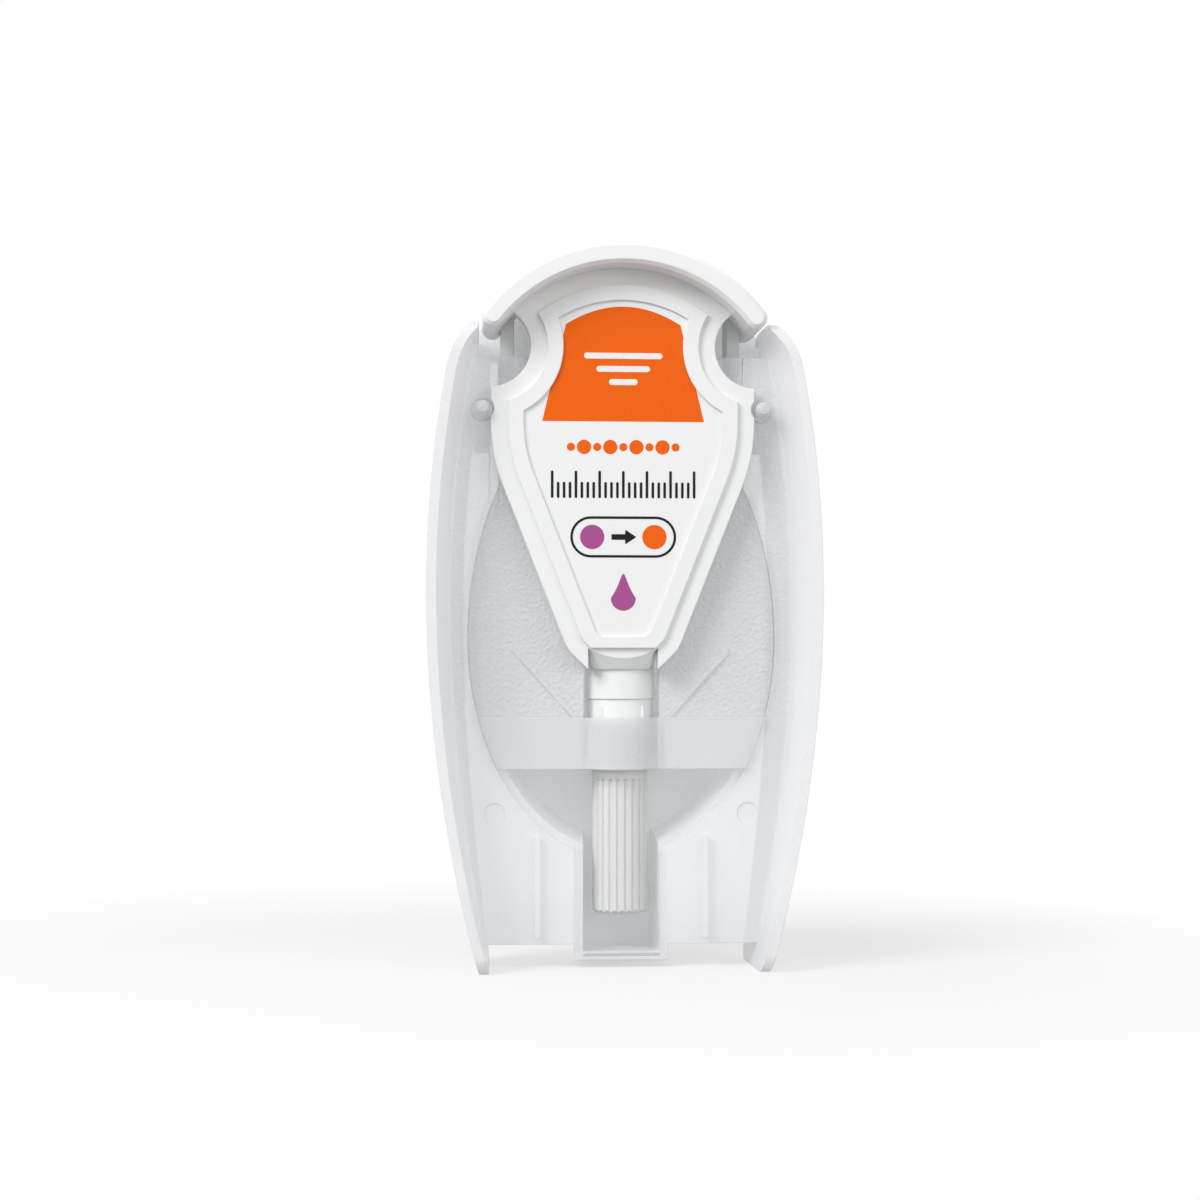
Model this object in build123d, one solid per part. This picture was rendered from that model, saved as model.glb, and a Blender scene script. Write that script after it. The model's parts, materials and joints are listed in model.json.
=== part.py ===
from build123d import *
import math
import os

# Frame: +Z up, -Y is the front, X = 0 is the plane of symmetry.
# The origin is on the ground between the feet, in the middle of the depth.
# All sizes are in millimetres and degrees.

# Holder, overall
DEPTH = 20.8                # front rim of the side walls to their rear edge
WALL = 1.4                  # general wall of the moulding
SIDE_WALL = 1.6             # flared side walls
WAIST_HALF = 31.45          # half width of the front rim where it is widest
WAIST_Z = 59.2              # height of the widest place
SHOULDER_HALF = 28.3        # half width of the front rim where its top corner starts
SHOULDER_Z = 95.5
EAR_HALF = 24.4             # half width of the front rim at its top
EAR_Z = 103.4               # top of the side walls
EAR_TAPER = 0.15            # share of the flare that is left at the top of the side walls
FOOT_HALF = 23.2            # half width of the front rim at the ground
FLARE = 12.0                # degrees that the side walls lean outwards to the front
FOOT_FLARE = 1.6            # degrees of that lean left at the ground
BARREL_POWER = 1.9          # how quickly the flanks turn in towards the feet
FOOT_ROUND = 3.0            # corners of the feet, seen from the side
EAR_ROUND = 5.0             # top corners of the side walls, seen from the side
BACK_REST_RADIUS = 28.0     # curved top of the back rest
BACK_REST_BOTTOM_Z = 84.0

# Holder, middle plate, tub and channel
PLATE_SET_BACK = 9.4        # front face of the middle plate behind the front rim
PLATE_TOP_Z = 98.7
PLATE_BOTTOM_Z = 3.8
OVAL_HALF = 26.3            # half width of the tub where it is widest
OVAL_Z = 53.0               # height of that place
OVAL_UP = 42.0              # height of the oval above that place
OVAL_DOWN = 37.0            # height of the oval below that place
THROAT_HALF = 21.2          # half width of the mouth at the top of the tub
CHANNEL_HALF = 7.6          # half width of the channel under the tub
CHANNEL_BOTTOM_Z = 1.2
TUB_DRAFT = 12.0            # degrees that the side of the tub leans in towards its floor
CHANNEL_DRAFT = 3.0         # the same for the channel
LEDGE = 1.0                 # width of the step that the lid rests on
SLIT = 0.4                  # groove across the end of the channel
SLIT_DEPTH = 1.0
RIB = 1.0                   # stiffening ribs beside the channel
RIB_HEIGHT = 1.1
RIB_X = 13.6
RIB_BOTTOM_Z = 4.8
EJECTOR_RADIUS = 1.7        # round marks left by the mould
EJECTOR_DEPTH = 0.2
EJECTOR_X = 20.5
EJECTOR_Z = 24.9
PEG_RADIUS = 1.15
PEG_OUT = 1.4               # centre of a peg outside the side of the handle
PEG_Z = 90.0
PEG_HEIGHT = 5.0
RAIL = 1.1                  # guide rails beside the tube, on the floor of the tub

# Lid
LID_GAP = 0.15              # clearance all round the lid
LID_BOTTOM_Z = 32.1
STRAP_TOP_Z = 40.4
STRAP_PROUD = 0.8           # the strap stands this far in front of the grained panel
HUMP_WALL = 1.3
GUIDE_TOP_X = 17.4          # outer end of the V-shaped guide ribs
GUIDE_TOP_Z = 51.4
GUIDE_PROUD = 0.35
GUIDE_WIDTH = 0.9

# Tube
TUBE_RADIUS = 4.5
TUBE_WALL = 0.9
TUBE_BOTTOM_Z = 8.7
TUBE_TOP_Z = 38.3
TUBE_FLOOR = 1.6
TUBE_EDGE = 0.5
FLUTE_TOP_Z = 30.4
FLUTES = 22
FLUTE_DEPTH = 0.3
COLLAR_RADIUS = 5.8
COLLAR_BOTTOM_Z = 33.5
RING_RADIUS = 5.0           # short ring between the collar and the flutes
RING_BOTTOM_Z = 31.8
TUBE_CLEARANCE = 0.3        # collar to the hump, and collar to the floor of the tub

# Collector handle
HANDLE_HALF = 21.15         # half width of the shield plate at its shoulder
HANDLE_THICK = 2.8
HANDLE_GAP = 0.5            # shield plate to the lid behind it
SHIELD_SIDE_Z = 82.5        # the upright side turns inwards here
SHIELD_SIDE_RADIUS = 28.0
SHIELD_TIP_HALF = 8.9       # half width where the point of the shield starts
SHIELD_TIP_Z = 51.4
SHIELD_TIP_RADIUS = 6.0
SHIELD_BOTTOM_Z = 48.2
NOTCH_RADIUS = 6.5          # finger notches
NOTCH_OUT = 0.15            # centre of a notch outside the side of the handle
NOTCH_Z = 99.9
PEG_BITE = 0.75             # how much wider than a peg the notch round it is
BORDER_WIDTH = 2.7          # low border of the plate
BAND_WIDTH = 2.5            # raised band inside the border
BAND_HEIGHT = 0.6
FIELD_DEPTH = 0.4           # label field, sunk into the raised band
POCKET_DEPTH = 1.0          # hollow in the back of the plate
POCKET_BOTTOM_Z = 62.0
SKIRT = 1.6                 # edge round that hollow
ARCH_Z = 87.7               # centre of the arch's curve
ARCH_RADIUS = 28.2
ARCH_THICK = 3.4
ARCH_HALF_ANGLE = 52.0
ARCH_FRONT_GAP = 0.5        # arch behind the front rim of the side walls
ARCH_REAR_GAP = 0.6         # arch to the back rest
ARCH_SIDE_GAP = 0.4         # ends of the arch to the side walls
ARCH_CORNER = 5.0           # rear corners of the arch, seen from above
ARCH_EDGE = 0.6             # bevel of its edges
TAB_WIDTH = 2.1             # guide tabs behind the top edge of the lid
TAB_SIDE_GAP = 0.4          # tabs to the sides of the tub's mouth
TAB_DEPTH = 6.0
TAB_GAP = 0.6
TAB_BOTTOM_Z = 96.0
NECK_RADIUS = 5.6
NECK_STEP = 0.25            # the neck is this much thinner below its step
NECK_STEP_Z = 43.4
NECK_TOP_Z = 60.0
NECK_BORE = 3.3
NECK_BORE_TOP_Z = 48.0
SCOOP_TOP_Z = 51.6          # where the slope from plate to neck starts
SCOOP_SAG = 1.6             # how far its upper edge bows down
SPIGOT_LENGTH = 4.6         # stretch of the neck inside the collar
SPIGOT_GAP = 0.1
KEY_X = 3.3                 # short keys on the front of the neck
KEY_WIDTH = 0.5
KEY_PROUD = 0.25
KEY_BOTTOM_Z = 40.0
KEY_TOP_Z = 42.3
SEAL = 0.4

# Pieces inside the tube and the neck
INNER_GAP = 0.1             # clearance of what lies in the tube
PAD = 1.5
AMPOULE_RADIUS = 1.65
AMPOULE_LENGTH = 13.0
AMPOULE_WALL = 0.3
AMPOULE_GAP = 0.2
FILL = 0.75                 # how full an ampoule is
CROWN_WALL = 0.6
CROWN_TEETH = 8
CROWN_TOOTH = 2.2
CROWN_LIFT = 1.2            # crown above the ampoules
CROWN_SEAT = 1.4            # stretch of the crown inside the neck
STEM_RADIUS = 1.1
TIP_RADIUS = 2.3
TIP_LIFT = 0.5              # tip above the ampoules
TIP_LENGTH = 7.0
PLUG_LENGTH = 6.5
SOCKET_DEPTH = 5.0

# Places that follow from the sizes above
RIM_Y = -DEPTH / 2
REAR_Y = DEPTH / 2
PLATE_Y = RIM_Y + PLATE_SET_BACK
PLATE_BACK_Y = PLATE_Y + WALL
FLOOR_Y = REAR_Y - WALL
TUBE_Y = FLOOR_Y - TUBE_CLEARANCE - COLLAR_RADIUS
TUNNEL_RADIUS = COLLAR_RADIUS + TUBE_CLEARANCE
HUMP_RADIUS = TUNNEL_RADIUS + HUMP_WALL
CHANNEL_END_Z = CHANNEL_BOTTOM_Z + WALL
PEG_X = HANDLE_HALF + PEG_OUT
NOTCH_X = HANDLE_HALF + NOTCH_OUT
TAB_X = THROAT_HALF - WALL - TAB_SIDE_GAP - TAB_WIDTH / 2
HANDLE_BACK_Y = PLATE_Y - HANDLE_GAP
BORDER_Y = HANDLE_BACK_Y - HANDLE_THICK
BAND_Y = BORDER_Y - BAND_HEIGHT
FIELD_Y = BAND_Y + FIELD_DEPTH
ARCH_INNER = ARCH_RADIUS - ARCH_THICK
ARCH_MIDDLE = ARCH_RADIUS - ARCH_THICK / 2
ARCH_HALF = ARCH_MIDDLE * math.sin(math.radians(ARCH_HALF_ANGLE)) + ARCH_THICK / 2
ARCH_FRONT_Y = RIM_Y + ARCH_FRONT_GAP
ARCH_REAR_Y = FLOOR_Y - ARCH_REAR_GAP
NECK_BOTTOM_Z = TUBE_TOP_Z + SEAL
SPIGOT_BOTTOM_Z = NECK_BOTTOM_Z - SPIGOT_LENGTH
TUBE_BORE = TUBE_RADIUS - TUBE_WALL
COLLAR_BORE = (COLLAR_RADIUS + TUBE_BORE) / 2
PAD_BOTTOM_Z = TUBE_BOTTOM_Z + TUBE_FLOOR
AMPOULE_BOTTOM_Z = PAD_BOTTOM_Z + PAD
AMPOULE_TOP_Z = AMPOULE_BOTTOM_Z + AMPOULE_LENGTH
AMPOULE_X = AMPOULE_RADIUS + AMPOULE_GAP / 2
TIP_BOTTOM_Z = AMPOULE_TOP_Z + TIP_LIFT
CROWN_BOTTOM_Z = AMPOULE_TOP_Z + CROWN_LIFT
CROWN_TOP_Z = SPIGOT_BOTTOM_Z + CROWN_SEAT
PLUG_TOP_Z = NECK_BORE_TOP_Z
PAST = 2.0                  # how far a cutting solid runs past the face that it cuts
WIDE = 2 * WAIST_HALF       # wider than any part of the holder


def face_of(*lines):
    """Lines and curves drawn as (x, z) become a face in the X-Z plane."""
    return Plane.XZ * make_face([edge for line in lines for edge in line.edges()])


def prism(face, y_low, y_high):
    """Carry a face of the X-Z plane through the depth, from y_low to y_high."""
    return Pos(0, y_low, 0) * extrude(face, amount=y_high - y_low, dir=(0, 1, 0))


def between(z_low, z_high, y_low=RIM_Y - PAST, y_high=REAR_Y + PAST, half=WIDE):
    """A block across the object, between two heights and two depths."""
    return Pos(0, (y_low + y_high) / 2, (z_low + z_high) / 2) * Box(
        2 * half, y_high - y_low, z_high - z_low)


def bar(radius, z_low, z_high, x=0.0, y=TUBE_Y):
    """An upright round bar, on the axis of the tube if nothing else is said."""
    return Pos(x, y, (z_low + z_high) / 2) * Cylinder(radius, z_high - z_low)


def mirrored(shape):
    """The same shape on the other side of the plane of symmetry."""
    return mirror(shape, about=Plane.YZ)


def both(shape):
    """A shape and its mirror image together."""
    return shape + mirrored(shape)


def lean(angle, y):
    """How far a wall that leans by this angle has moved in at depth y."""
    return (y - RIM_Y) * math.tan(math.radians(angle))


def flank(y, inset):
    """The right flank at depth y, as a curve from the ground to the shoulder."""
    foot = FOOT_HALF - lean(FOOT_FLARE, y) - inset
    waist = WAIST_HALF - lean(FLARE, y) - inset
    shoulder = SHOULDER_HALF - lean(FLARE, y) - inset
    half_way = waist - (waist - foot) * 0.5 ** BARREL_POWER
    return Spline((foot, 0), (half_way, WAIST_Z / 2), (waist, WAIST_Z), (shoulder, SHOULDER_Z))


def barrel_section(y, inset=0.0):
    """Outline of the holder at depth y, which runs past the ground and the top."""
    side = flank(y, inset)
    ear_half = EAR_HALF - EAR_TAPER * lean(FLARE, y)
    corner = TangentArc(side @ 1, (ear_half - 0.7 * inset, EAR_Z - 0.7 * inset), tangent=side % 1)
    right = [Line(side @ 0 - (0, PAST), side @ 0), side, corner,
             Line(corner @ 1, corner @ 1 + (0, 2 * PAST))]
    left = [mirrored(edge) for edge in right]
    return Pos(0, y, 0) * face_of(Line(left[0] @ 0, right[0] @ 0), *right,
                                  Line(right[-1] @ 1, left[-1] @ 1), *reversed(left))


def side_walls():
    """Two flared walls, each from a pointed foot to a rounded ear."""
    outside = loft([barrel_section(RIM_Y), barrel_section(REAR_Y)], ruled=True)
    inside = loft([barrel_section(RIM_Y - PAST, SIDE_WALL), barrel_section(REAR_Y + PAST, SIDE_WALL)],
                  ruled=True)
    profile = Plane.YZ * Pos(0, EAR_Z / 2) * Rectangle(DEPTH, EAR_Z)
    profile = fillet(profile.vertices().group_by(Axis.Z)[-1], EAR_ROUND)
    profile = fillet(profile.vertices().group_by(Axis.Z)[0], FOOT_ROUND)
    relief = between(PLATE_TOP_Z, EAR_Z + PAST, RIM_Y - PAST, FLOOR_Y, ARCH_HALF + ARCH_SIDE_GAP)
    return ((outside - inside) & extrude(profile, amount=WIDE, both=True)) - relief


def panel(y_low, y_high, z_low, z_high):
    """A plate between the side walls that ends inside their thickness."""
    outline = barrel_section((y_low + y_high) / 2, SIDE_WALL / 2)
    middle = (y_low + y_high) / 2
    return prism(Pos(0, -middle, 0) * outline, y_low, y_high) & between(z_low, z_high)


def back_rest():
    """Rear plate behind the arch, with a curved top that follows the arch."""
    half = EAR_HALF - EAR_TAPER * lean(FLARE, REAR_Y)
    disc = Plane.XZ * Pos(0, ARCH_Z) * Circle(BACK_REST_RADIUS)
    top_z = ARCH_Z + BACK_REST_RADIUS
    return prism(disc, FLOOR_Y, REAR_Y) & between(BACK_REST_BOTTOM_Z, top_z + PAST, half=half)


def tub_face(y, oval=0.0, throat=0.0, channel=0.0, bottom=CHANNEL_BOTTOM_Z, top=PLATE_TOP_Z):
    """Outline of the tub at depth y: mouth, oval and channel, each moved in by its own amount."""
    half, up, down = OVAL_HALF - oval, OVAL_UP - oval, OVAL_DOWN - oval
    mouth, foot = THROAT_HALF - throat, CHANNEL_HALF - channel
    mouth_angle = math.degrees(math.acos(mouth / half))
    foot_angle = math.degrees(math.acos(foot / half))
    upper = EllipticalCenterArc((0, OVAL_Z), half, up, mouth_angle, arc_size=-mouth_angle)
    lower = EllipticalCenterArc((0, OVAL_Z), half, down, 0, arc_size=-foot_angle)
    right = [Line((mouth, top), upper @ 0), upper, lower, Line(lower @ 1, (foot, bottom))]
    left = [mirrored(edge) for edge in right]
    return Pos(0, y, 0) * face_of(Line((-mouth, top), (mouth, top)), *right,
                                  Line((foot, bottom), (-foot, bottom)), *reversed(left))


def tub_depths(y):
    """How far the oval and the channel have leaned in at depth y."""
    run = y - PLATE_Y
    return run * math.tan(math.radians(TUB_DRAFT)), run * math.tan(math.radians(CHANNEL_DRAFT))


def tub_block():
    """Outside of the tub and of the channel under it."""
    oval, channel = tub_depths(REAR_Y)
    return loft([tub_face(PLATE_Y), tub_face(REAR_Y, oval=oval, channel=channel)], ruled=True)


def tub_hollow():
    """Inside of the tub: a shallow seat for the lid, then the cavity behind it."""
    seat = prism(tub_face(0, WALL, WALL, WALL, CHANNEL_END_Z, PLATE_TOP_Z + PAST),
                 PLATE_Y - PAST, PLATE_BACK_Y)
    oval_front, channel_front = tub_depths(PLATE_BACK_Y)
    oval_rear, channel_rear = tub_depths(FLOOR_Y)
    inner = WALL + LEDGE
    cavity = loft([tub_face(PLATE_BACK_Y, inner + oval_front, WALL, WALL + channel_front,
                            CHANNEL_END_Z, PLATE_TOP_Z + PAST),
                   tub_face(FLOOR_Y, inner + oval_rear, WALL, WALL + channel_rear,
                            CHANNEL_END_Z, PLATE_TOP_Z + PAST)], ruled=True)
    return seat + cavity


def guide_rails():
    """Two rails on the floor of the tub that keep the tube upright."""
    rail = Pos(TUNNEL_RADIUS + RAIL / 2, (PLATE_BACK_Y + LID_GAP + REAR_Y - WALL / 2) / 2,
               (LID_BOTTOM_Z + STRAP_TOP_Z) / 2) * Box(
        RAIL, REAR_Y - WALL / 2 - PLATE_BACK_Y - LID_GAP, STRAP_TOP_Z - LID_BOTTOM_Z)
    return both(rail)


def pegs():
    """Snap pegs with domed ends, one beside each shoulder of the handle."""
    peg = Pos(PEG_X, PLATE_Y - PEG_HEIGHT / 2 + WALL / 4, PEG_Z) * Rot(90, 0, 0) * Cylinder(
        PEG_RADIUS, PEG_HEIGHT + WALL / 2)
    tip = peg.edges().group_by(Axis.Y)[0]
    return both(fillet(tip, PEG_RADIUS * 0.8))


def ribs():
    """Stiffening ribs on the front of the middle plate, beside the channel."""
    drop = math.sqrt(1 - (RIB_X / OVAL_HALF) ** 2) * OVAL_DOWN
    top_z = OVAL_Z - drop
    centre_z = (RIB_BOTTOM_Z + top_z) / 2
    rib = Plane.XZ * Pos(RIB_X, centre_z) * Rot(0, 0, 90) * SlotOverall(top_z - RIB_BOTTOM_Z, RIB)
    return both(prism(rib, PLATE_Y - RIB_HEIGHT, PLATE_Y + WALL / 2))


def ejector_marks():
    """Shallow round dents in the middle plate."""
    dent = Pos(EJECTOR_X, PLATE_Y, EJECTOR_Z) * Rot(90, 0, 0) * Cylinder(
        EJECTOR_RADIUS, 2 * EJECTOR_DEPTH)
    return both(dent)


def holder_shell():
    body = side_walls() + panel(PLATE_Y, PLATE_BACK_Y, PLATE_BOTTOM_Z, PLATE_TOP_Z) + back_rest()
    body = body + tub_block() + ribs()
    groove_half = CHANNEL_HALF - WALL
    groove = between(CHANNEL_END_Z - 2 * SLIT, CHANNEL_END_Z - SLIT,
                     PLATE_Y - PAST, PLATE_Y + SLIT_DEPTH, groove_half)
    body = body - tub_hollow() - groove - ejector_marks()
    return body + guide_rails() + pegs()


def lid_outline(y_low, y_high, z_low, z_high):
    """The shape of the tub's mouth, less the clearance round the lid."""
    inset = WALL + LID_GAP
    return prism(tub_face(0, inset, inset, inset), y_low, y_high) & between(z_low, z_high)


def guide_rib():
    """One low rib of the V that leads the tube to its tunnel, on the right."""
    run = GUIDE_TOP_X - HUMP_RADIUS
    rise = GUIDE_TOP_Z - STRAP_TOP_Z
    slope = math.degrees(math.atan2(rise, run))
    bar_face = Plane.XZ * Pos((GUIDE_TOP_X + HUMP_RADIUS) / 2, (GUIDE_TOP_Z + STRAP_TOP_Z) / 2) * Rot(
        0, 0, slope) * SlotOverall(math.hypot(run, rise), GUIDE_WIDTH)
    return prism(bar_face, PLATE_Y - GUIDE_PROUD, PLATE_Y + WALL / 2)


def holder_lid():
    panel_part = lid_outline(PLATE_Y, PLATE_BACK_Y, LID_BOTTOM_Z, PLATE_TOP_Z)
    panel_part = panel_part + both(guide_rib())
    strap = lid_outline(PLATE_Y - STRAP_PROUD, PLATE_BACK_Y, LID_BOTTOM_Z, STRAP_TOP_Z)
    hump = bar(HUMP_RADIUS, LID_BOTTOM_Z, STRAP_TOP_Z) & between(
        LID_BOTTOM_Z, STRAP_TOP_Z, RIM_Y - PAST, PLATE_BACK_Y)
    tunnel = bar(TUNNEL_RADIUS, LID_BOTTOM_Z - PAST, STRAP_TOP_Z + PAST)
    slot = between(STRAP_TOP_Z, PLATE_TOP_Z + PAST, half=TUNNEL_RADIUS)
    return panel_part + strap + hump - tunnel - slot


def shield_face(top_radius):
    """Front outline of the shield plate, cut off at the top by the curve of the arch."""
    corners = [(HANDLE_HALF, ARCH_Z + ARCH_RADIUS), (HANDLE_HALF, SHIELD_SIDE_Z),
               (SHIELD_TIP_HALF, SHIELD_TIP_Z), (NECK_RADIUS, SHIELD_BOTTOM_Z)]
    outline = corners + [(-x, z) for x, z in reversed(corners)]
    rounds = [SHIELD_SIDE_RADIUS, SHIELD_TIP_RADIUS, 0, 0, SHIELD_TIP_RADIUS, SHIELD_SIDE_RADIUS]
    sides = FilletPolyline(*outline, radius=rounds)
    face = make_face([*sides.edges(), Line(sides @ 1, sides @ 0).edge()])
    under = Pos(0, ARCH_Z) * Circle(top_radius)
    below = Pos(0, ARCH_Z / 2) * Rectangle(WIDE, ARCH_Z)
    notch = Pos(NOTCH_X, NOTCH_Z) * Circle(NOTCH_RADIUS)
    return (face & (under + below)) - notch - mirrored(notch)


def shield_plate():
    """Shield with a low border, a raised band, a sunk label field and a hollow back."""
    outline = shield_face(ARCH_INNER)
    band = offset(outline, amount=-BORDER_WIDTH)
    field = offset(outline, amount=-BORDER_WIDTH - BAND_WIDTH)
    pocket = offset(outline, amount=-SKIRT)
    plate = prism(Plane.XZ * shield_face(ARCH_MIDDLE), BORDER_Y, HANDLE_BACK_Y)
    plate = plate + prism(Plane.XZ * band, BAND_Y, BORDER_Y + WALL / 2)
    plate = plate - prism(Plane.XZ * field, BAND_Y - PAST, FIELD_Y)
    hollow = prism(Plane.XZ * pocket, HANDLE_BACK_Y - POCKET_DEPTH, HANDLE_BACK_Y + PAST)
    bite = Pos(PEG_X, BORDER_Y, PEG_Z) * Rot(90, 0, 0) * Cylinder(PEG_RADIUS + PEG_BITE, WIDE)
    return plate - (hollow & between(POCKET_BOTTOM_Z, WIDE * PAST)) - both(bite)


def arch():
    """Curved thumb flange with round ends."""
    start = 90 - ARCH_HALF_ANGLE
    middle = CenterArc((0, ARCH_Z), ARCH_MIDDLE, start, 2 * ARCH_HALF_ANGLE)
    block = prism(Plane.XZ * SlotArc(middle, ARCH_THICK), ARCH_FRONT_Y, ARCH_REAR_Y)
    block = chamfer(block.edges().group_by(Axis.Y)[0] + block.edges().group_by(Axis.Y)[-1], ARCH_EDGE)
    plan = Pos(0, (ARCH_FRONT_Y + ARCH_REAR_Y) / 2) * Rectangle(2 * ARCH_HALF, ARCH_REAR_Y - ARCH_FRONT_Y)
    plan = fillet(plan.vertices().group_by(Axis.Y)[-1], ARCH_CORNER)
    return block & extrude(plan, amount=ARCH_Z + ARCH_RADIUS + PAST)


def tabs():
    """Guide tabs that hang from the arch behind the top edge of the holder."""
    front_y = PLATE_BACK_Y + TAB_GAP
    tab = Pos(TAB_X, front_y + TAB_DEPTH / 2, (TAB_BOTTOM_Z + ARCH_Z + ARCH_MIDDLE) / 2) * Box(
        TAB_WIDTH, TAB_DEPTH, ARCH_Z + ARCH_MIDDLE - TAB_BOTTOM_Z)
    under = prism(Plane.XZ * Pos(0, ARCH_Z) * Circle(ARCH_MIDDLE), front_y, front_y + TAB_DEPTH)
    return both(tab & under)


def scoop_face(y, bottom_z):
    """Tongue shape above the neck, with a round lower edge that reaches bottom_z."""
    end = ThreePointArc((-NECK_RADIUS, SCOOP_TOP_Z), (0, bottom_z), (NECK_RADIUS, SCOOP_TOP_Z))
    top_z = SCOOP_TOP_Z + PAST
    frame = Polyline((NECK_RADIUS, SCOOP_TOP_Z), (NECK_RADIUS, top_z), (-NECK_RADIUS, top_z),
                     (-NECK_RADIUS, SCOOP_TOP_Z))
    return Pos(0, y, 0) * face_of(end, *frame.edges())


def neck():
    """Hollow neck behind the point of the shield, with a spigot for the collar of the tube."""
    body = bar(NECK_RADIUS, NECK_STEP_Z, NECK_TOP_Z) + bar(
        NECK_RADIUS - NECK_STEP, NECK_BOTTOM_Z, NECK_STEP_Z)
    body = chamfer(body.edges().group_by(Axis.Z)[-1], NECK_RADIUS / 3)
    key = Pos(KEY_X, TUBE_Y - math.sqrt((NECK_RADIUS - NECK_STEP) ** 2 - KEY_X ** 2),
              (KEY_BOTTOM_Z + KEY_TOP_Z) / 2) * Box(KEY_WIDTH, 2 * KEY_PROUD, KEY_TOP_Z - KEY_BOTTOM_Z)
    spigot = bar(COLLAR_BORE - SPIGOT_GAP, SPIGOT_BOTTOM_Z, NECK_BOTTOM_Z)
    return body + both(key) + spigot


def collector_handle():
    step_y = TUBE_Y - NECK_RADIUS * 0.8
    slope = loft([scoop_face(BORDER_Y, SCOOP_TOP_Z - SCOOP_SAG),
                  scoop_face(step_y, SCOOP_TOP_Z - NECK_RADIUS)], ruled=True)
    window = between(SHIELD_BOTTOM_Z - PAST, SCOOP_TOP_Z, RIM_Y, HANDLE_BACK_Y + PAST, NECK_RADIUS)
    plate = shield_plate() - (window - slope)
    bore = bar(NECK_BORE, SPIGOT_BOTTOM_Z - PAST, NECK_BORE_TOP_Z)
    return plate + arch() + tabs() + neck() - bore


def seal_ring():
    return bar(COLLAR_RADIUS - SEAL / 2, TUBE_TOP_Z, NECK_BOTTOM_Z) - bar(
        COLLAR_BORE, TUBE_TOP_Z, NECK_BOTTOM_Z)


def flutes():
    """Lower stretch of the tube: ridges with flat grooves between them."""
    profile = ((-0.25, TUBE_RADIUS), (0.25, TUBE_RADIUS),
               (0.4, TUBE_RADIUS - FLUTE_DEPTH), (0.6, TUBE_RADIUS - FLUTE_DEPTH))
    points = []
    for number in range(FLUTES):
        for share, radius in profile:
            angle = 2 * math.pi * (number + share) / FLUTES
            points.append((radius * math.sin(angle), TUBE_Y - radius * math.cos(angle)))
    outline = make_face(Polyline(*points, close=True).edges())
    return Pos(0, 0, TUBE_BOTTOM_Z) * extrude(outline, amount=FLUTE_TOP_Z - TUBE_BOTTOM_Z, dir=(0, 0, 1))


def reaction_tube():
    """Fluted tube with a smooth collar that fits over the spigot."""
    blank = bar(TUBE_RADIUS, TUBE_BOTTOM_Z, FLUTE_TOP_Z)
    body = flutes() & chamfer(blank.edges().group_by(Axis.Z)[0], TUBE_EDGE)
    collar = bar(COLLAR_RADIUS, COLLAR_BOTTOM_Z, TUBE_TOP_Z)
    collar = chamfer(collar.edges().group_by(Axis.Z)[0], TUBE_EDGE)
    body = body + bar(TUBE_RADIUS, FLUTE_TOP_Z, RING_BOTTOM_Z)
    body = body + bar(RING_RADIUS, RING_BOTTOM_Z, COLLAR_BOTTOM_Z) + collar
    bore = bar(TUBE_BORE, PAD_BOTTOM_Z, TUBE_TOP_Z + PAST)
    counterbore = bar(COLLAR_BORE, SPIGOT_BOTTOM_Z - SPIGOT_GAP, TUBE_TOP_Z + PAST)
    return body - bore - counterbore


def stem_plug():
    plug = bar(NECK_BORE, PLUG_TOP_Z - PLUG_LENGTH, PLUG_TOP_Z)
    return plug - bar(STEM_RADIUS, PLUG_TOP_Z - PLUG_LENGTH - PAST,
                      PLUG_TOP_Z - PLUG_LENGTH + SOCKET_DEPTH)


def sampling_stem():
    return bar(STEM_RADIUS, TIP_BOTTOM_Z + TIP_LENGTH / 2, PLUG_TOP_Z - PLUG_LENGTH + SOCKET_DEPTH)


def sampling_tip():
    """Fibre bud round the lower end of the stem."""
    bud = bar(TIP_RADIUS, TIP_BOTTOM_Z, TIP_BOTTOM_Z + TIP_LENGTH)
    bud = chamfer(bud.edges().group_by(Axis.Z)[0] + bud.edges().group_by(Axis.Z)[-1], TIP_RADIUS * 0.4)
    return bud - bar(STEM_RADIUS, TIP_BOTTOM_Z + TIP_LENGTH / 2, TIP_BOTTOM_Z + TIP_LENGTH + PAST)


def breaker_crown():
    """Sleeve in the end of the spigot, with teeth that crack the ampoules."""
    outer = NECK_BORE
    sleeve = bar(outer, CROWN_BOTTOM_Z, CROWN_TOP_Z) - bar(
        outer - CROWN_WALL, CROWN_BOTTOM_Z - PAST, CROWN_TOP_Z + PAST)
    half = outer * math.sin(math.pi / CROWN_TEETH)
    gap = Polyline((-half, CROWN_BOTTOM_Z - SLIT), (0, CROWN_BOTTOM_Z + CROWN_TOOTH),
                   (half, CROWN_BOTTOM_Z - SLIT), close=True)
    cutter = prism(face_of(*gap.edges()), -outer - PAST, 0)
    for number in range(CROWN_TEETH):
        turn = Pos(0, TUBE_Y, 0) * Rot(0, 0, 360 * number / CROWN_TEETH)
        sleeve = sleeve - turn * cutter
    return sleeve


def capsule(radius, length):
    """Upright body with narrowed ends that stands on the end of the ampoules' place."""
    body = bar(radius, AMPOULE_BOTTOM_Z, AMPOULE_BOTTOM_Z + length, AMPOULE_X)
    return chamfer(body.edges().filter_by(GeomType.CIRCLE), radius * 0.6)


def ampoule():
    hollow = Pos(0, 0, AMPOULE_WALL) * capsule(AMPOULE_RADIUS - AMPOULE_WALL,
                                               AMPOULE_LENGTH - 2 * AMPOULE_WALL)
    return capsule(AMPOULE_RADIUS, AMPOULE_LENGTH) - hollow


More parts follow.
